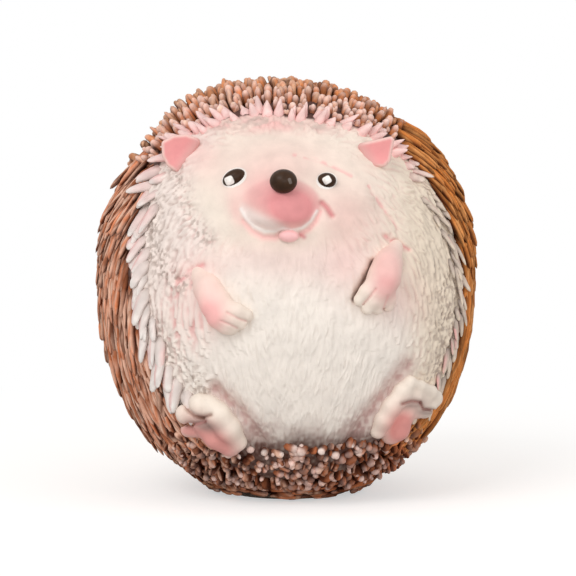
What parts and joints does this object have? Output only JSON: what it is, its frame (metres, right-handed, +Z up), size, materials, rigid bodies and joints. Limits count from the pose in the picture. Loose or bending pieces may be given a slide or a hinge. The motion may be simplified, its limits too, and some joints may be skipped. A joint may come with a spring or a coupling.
{
  "type": "hedgehog figurine",
  "caption": "Sitting hedgehog ornament, a hollow cast body with a coat of moulded spines, a pale belly and face, small paws and feet, and a felt pad to stand on a shelf.",
  "frame": {"origin": "middle of the felt pad's underside, on the surface that the figurine stands on", "axes": "+Z up, the face looks along -Y, +X to the right of someone who faces it"},
  "size_m": [0.0874, 0.0899, 0.0922],
  "materials": {
    "spine_brown": "cast resin, matt brown paint, paler spine tips",
    "belly_cream": "cast resin, matt cream paint with a pink blush and a grey wash in the hollows",
    "skin_pink": "cast resin, matt pink and cream airbrushed paint",
    "eye_black": "gloss dark brown, clear lacquer",
    "felt": "pressed felt"
  },
  "bodies": {
    "root": {"back_shell": "spine_brown", "belly_shell": "belly_cream", "left_ear": "skin_pink", "right_ear": "skin_pink", "left_arm": "skin_pink", "right_arm": "skin_pink", "left_foot": "skin_pink", "right_foot": "skin_pink", "left_eye": "eye_black", "right_eye": "eye_black", "nose": "eye_black", "base_pad": "felt"}
  },
  "joints": []
}
